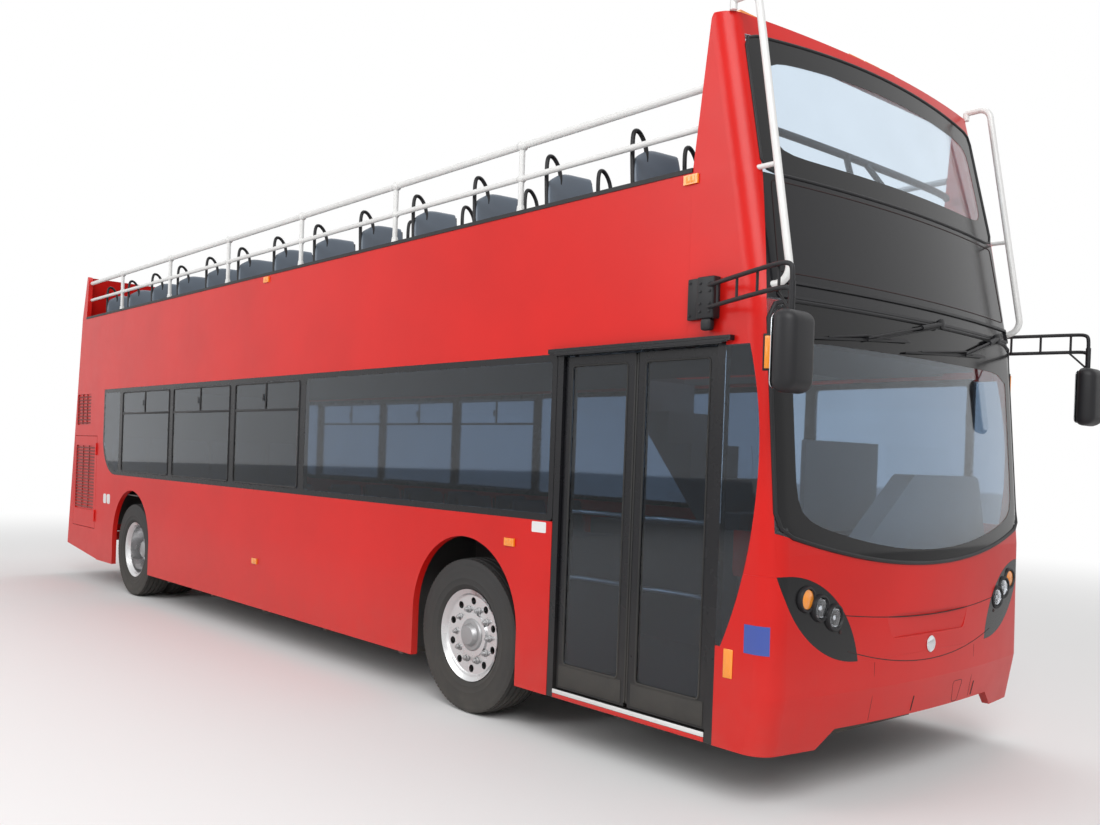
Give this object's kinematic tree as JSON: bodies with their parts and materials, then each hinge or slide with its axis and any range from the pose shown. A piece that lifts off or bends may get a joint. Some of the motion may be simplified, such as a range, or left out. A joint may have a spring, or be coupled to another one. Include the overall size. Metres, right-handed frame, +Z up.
{
  "type": "open top double decker bus",
  "caption": "Red open-top double-decker sightseeing bus with glazed lower saloon, open upper deck with rails and seats, twin-leaf door, steered front wheels and twin rear wheels.",
  "frame": {"origin": "middle of the bus's length and width, mirrors counted, at ground level", "axes": "+Z up, -Y towards the front of the bus, -X towards the kerb side with the entrance"},
  "size_m": [3.34, 10.87, 3.999],
  "materials": {
    "red_paint": "gloss red coach paint with fine scratches",
    "black_trim": "black moulded trim and rubber",
    "side_glass_tint": "tinted bonded side glass",
    "screen_glass": "laminated windscreen glass",
    "white_paint": "white powder coat",
    "floor_cover": "dark ribbed floor covering",
    "seat_vinyl": "moulded grey-blue seat shells",
    "saloon_vinyl": "moulded dark seat shells",
    "tyre_rubber": "road tyre rubber",
    "polished_alloy": "polished forged wheel",
    "chassis_black": "black chassis paint",
    "engine_iron": "painted engine castings",
    "amber_lens": "amber lamp lens",
    "red_lens": "red lamp lens",
    "dash_grey": "grey grained fascia",
    "stair_grey": "grey painted stairs",
    "black_panel": "plain black destination panel"
  },
  "bodies": {
    "coach_body": {"front_bumper": "red_paint", "front_panel": "red_paint", "headlamps": "black_trim", "windscreen_lower": "screen_glass", "destination_panel": "black_panel", "windscreen_upper": "screen_glass", "front_surround": "red_paint", "side_lower_right": "red_paint", "side_lower_left": "red_paint", "window_frame_right": "black_trim", "window_frame_left": "black_trim", "side_glass": "side_glass_tint", "side_upper_right": "red_paint", "side_upper_left": "red_paint", "side_caps": "black_trim", "tail_lower": "red_paint", "tail_upper": "red_paint", "chassis_frame": "chassis_black", "lower_floor": "floor_cover", "upper_deck": "floor_cover", "stairs": "stair_grey", "engine_block": "engine_iron", "front_axle": "chassis_black", "rear_axle": "chassis_black", "door_frame": "black_trim", "deck_rails": "white_paint", "branch_guards": "white_paint", "mirrors": "black_trim", "wipers": "black_trim", "marker_lamps": "amber_lens", "tail_lamps": "red_lens", "upper_seats": "seat_vinyl", "seat_handles": "black_trim", "lower_seats": "saloon_vinyl", "driver_seat": "saloon_vinyl", "dashboard": "dash_grey", "steering_wheel": "black_trim", "cab_wall": "dash_grey"},
    "knuckle_right": {"knuckle_right": "chassis_black"},
    "knuckle_left": {"knuckle_left": "chassis_black"},
    "front_wheel_right": {"front_tyre_right": "tyre_rubber", "front_wheel_right": "polished_alloy"},
    "front_wheel_left": {"front_tyre_left": "tyre_rubber", "front_wheel_left": "polished_alloy"},
    "rear_wheels_right": {"rear_tyres_right": "tyre_rubber", "rear_wheel_right": "polished_alloy"},
    "rear_wheels_left": {"rear_tyres_left": "tyre_rubber", "rear_wheel_left": "polished_alloy"},
    "door_leaf_front": {"door_leaf_front": "black_trim", "door_glass_front": "side_glass_tint"},
    "door_leaf_rear": {"door_leaf_rear": "black_trim", "door_glass_rear": "side_glass_tint"},
    "service_door_right": {"service_door_right": "red_paint"},
    "service_door_left": {"service_door_left": "red_paint"},
    "engine_door": {"engine_door": "red_paint"}
  },
  "joints": [
    {"name": "steer_right", "type": "hinge", "parent": "coach_body", "child": "knuckle_right", "pos_m": [-1, -2.755, 0.4985], "axis": [0, 0, 1], "range_deg": [-38, 38]},
    {"name": "steer_left", "type": "hinge", "parent": "coach_body", "child": "knuckle_left", "pos_m": [1, -2.755, 0.4985], "axis": [0, 0, 1], "range_deg": [-38, 38]},
    {"name": "front_wheel_right_spin", "type": "hinge", "parent": "knuckle_right", "child": "front_wheel_right", "pos_m": [-1, -2.755, 0.4985], "axis": [1, 0, 0], "continuous": true},
    {"name": "front_wheel_left_spin", "type": "hinge", "parent": "knuckle_left", "child": "front_wheel_left", "pos_m": [1, -2.755, 0.4985], "axis": [1, 0, 0], "continuous": true},
    {"name": "rear_wheels_right_spin", "type": "hinge", "parent": "coach_body", "child": "rear_wheels_right", "pos_m": [-1, 3.185, 0.4985], "axis": [1, 0, 0], "continuous": true},
    {"name": "rear_wheels_left_spin", "type": "hinge", "parent": "coach_body", "child": "rear_wheels_left", "pos_m": [1, 3.185, 0.4985], "axis": [1, 0, 0], "continuous": true},
    {"name": "front_leaf_hinge", "type": "hinge", "parent": "coach_body", "child": "door_leaf_front", "pos_m": [-1.185, -4.728, 1.3], "axis": [0, 0, -1], "range_deg": [0, 88]},
    {"name": "rear_leaf_hinge", "type": "hinge", "parent": "coach_body", "child": "door_leaf_rear", "pos_m": [-1.185, -3.652, 1.3], "axis": [0, 0, 1], "range_deg": [0, 88]},
    {"name": "service_door_right_hinge", "type": "hinge", "parent": "coach_body", "child": "service_door_right", "pos_m": [-1.2833, 4.342, 1.18], "axis": [0, 0, 1], "range_deg": [0, 95]},
    {"name": "service_door_left_hinge", "type": "hinge", "parent": "coach_body", "child": "service_door_left", "pos_m": [1.2833, 4.342, 1.18], "axis": [0, 0, -1], "range_deg": [0, 95]},
    {"name": "engine_door_hinge", "type": "hinge", "parent": "coach_body", "child": "engine_door", "pos_m": [0, 5.3243, 1.42416], "axis": [1, 0, 0], "range_deg": [0, 75]}
  ],
  "couplings": [
    {"joint": "steer_left", "follows": "steer_right", "ratio": 1}
  ]
}
